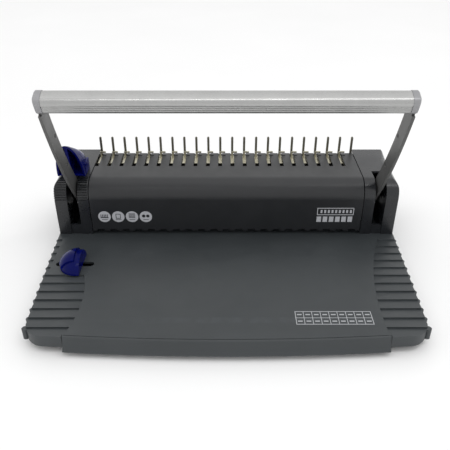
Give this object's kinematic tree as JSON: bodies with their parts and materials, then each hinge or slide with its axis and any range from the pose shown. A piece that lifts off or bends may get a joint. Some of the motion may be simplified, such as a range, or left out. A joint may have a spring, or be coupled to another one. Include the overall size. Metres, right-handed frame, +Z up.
{
  "type": "comb binding machine",
  "caption": "Manual desktop machine with a fold-forward lever that punches A4 sheets and opens plastic combs on a row of tines, with a ribbed paper deck and a chip drawer.",
  "frame": {"origin": "floor level under the centre of the base", "axes": "+X to the user's right along the sheets' punched edge, +Y to the rear, +Z up"},
  "size_m": [0.3844, 0.2966, 0.2084],
  "materials": {
    "deck_plastic": "fine moulded texture, satin",
    "body_plastic": "fine moulded texture, satin",
    "cover_plastic": "fine moulded texture, satin",
    "pan_plastic": "matt moulding",
    "foot_rubber": "soft matt",
    "screw_steel": "zinc plated",
    "frame_steel": "rolled sheet",
    "tool_steel": "ground, oiled",
    "bush_nylon": "natural nylon",
    "tine_steel": "blackened",
    "hook_steel": "yellow zinc plated",
    "spring_steel": "bright wire",
    "arm_steel": "satin grey",
    "bar_aluminium": "satin anodised",
    "cap_silver": "silver coated",
    "blue_plastic": "glossy deep blue",
    "print_grey": "pad print",
    "print_white": "pad print"
  },
  "bodies": {
    "machine": {"deck_cover": "deck_plastic", "front_cover": "body_plastic", "left_end_cover": "cover_plastic", "right_end_cover": "cover_plastic", "rear_cover": "cover_plastic", "base_pan": "pan_plastic", "rubber_feet": "foot_rubber", "base_screws": "screw_steel", "cover_screws": "screw_steel", "left_side_frame": "frame_steel", "right_side_frame": "frame_steel", "rear_tie_rod": "frame_steel", "paper_depth_stop": "frame_steel", "die_plate": "tool_steel", "punch_guide_plate": "tool_steel", "left_shaft_bush": "bush_nylon", "right_shaft_bush": "bush_nylon", "hook_guide_rails": "bush_nylon", "comb_rail": "tine_steel", "comb_tines": "tine_steel", "left_return_spring": "spring_steel", "right_return_spring": "spring_steel"},
    "lever": {"main_shaft": "tool_steel", "left_bell_crank": "tool_steel", "right_bell_crank": "tool_steel", "left_arm": "arm_steel", "right_arm": "arm_steel", "arm_nuts": "screw_steel", "handle_bar": "bar_aluminium", "left_bar_cap": "cap_silver", "right_bar_cap": "cap_silver", "bar_screws": "screw_steel"},
    "punch": {"punch_bar": "tool_steel", "punch_pins": "tool_steel"},
    "hooks": {"hook_plate": "hook_steel", "comb_hooks": "hook_steel"},
    "drawer": {"chip_drawer": "deck_plastic"},
    "paper_stop": {"paper_stop_knob": "blue_plastic", "paper_stop_plate": "pan_plastic", "paper_stop_screw": "screw_steel"},
    "comb_stop": {"opening_stop": "blue_plastic", "opening_stop_clip": "pan_plastic", "opening_stop_screw": "screw_steel"}
  },
  "joints": [
    {"name": "lever_hinge", "type": "hinge", "parent": "machine", "child": "lever", "pos_m": [0, 0.068, 0.0445], "axis": [1, 0, 0], "range_deg": [0, 50], "stiffness_Nm_per_rad": 0.8, "springref_deg": -40.11, "deforming": ["left_return_spring", "right_return_spring"]},
    {"name": "punch_slide", "type": "slide", "parent": "machine", "child": "punch", "axis": [0, 0, -1], "range_m": [0, 0.01]},
    {"name": "hook_slide", "type": "slide", "parent": "machine", "child": "hooks", "axis": [0, -1, 0], "range_m": [0, 0.0254]},
    {"name": "drawer_slide", "type": "slide", "parent": "machine", "child": "drawer", "axis": [0, -1, 0], "range_m": [0, 0.12]},
    {"name": "paper_stop_slide", "type": "slide", "parent": "machine", "child": "paper_stop", "axis": [1, 0, 0], "range_m": [-0.01, 0.02]},
    {"name": "comb_stop_slide", "type": "slide", "parent": "machine", "child": "comb_stop", "axis": [0, 1, 0], "range_m": [0, 0.016]}
  ],
  "couplings": [
    {"joint": "punch_slide", "follows": "lever_hinge", "m_per_rad": 0.011429},
    {"joint": "hook_slide", "follows": "lever_hinge", "m_per_rad": 0.029057}
  ]
}
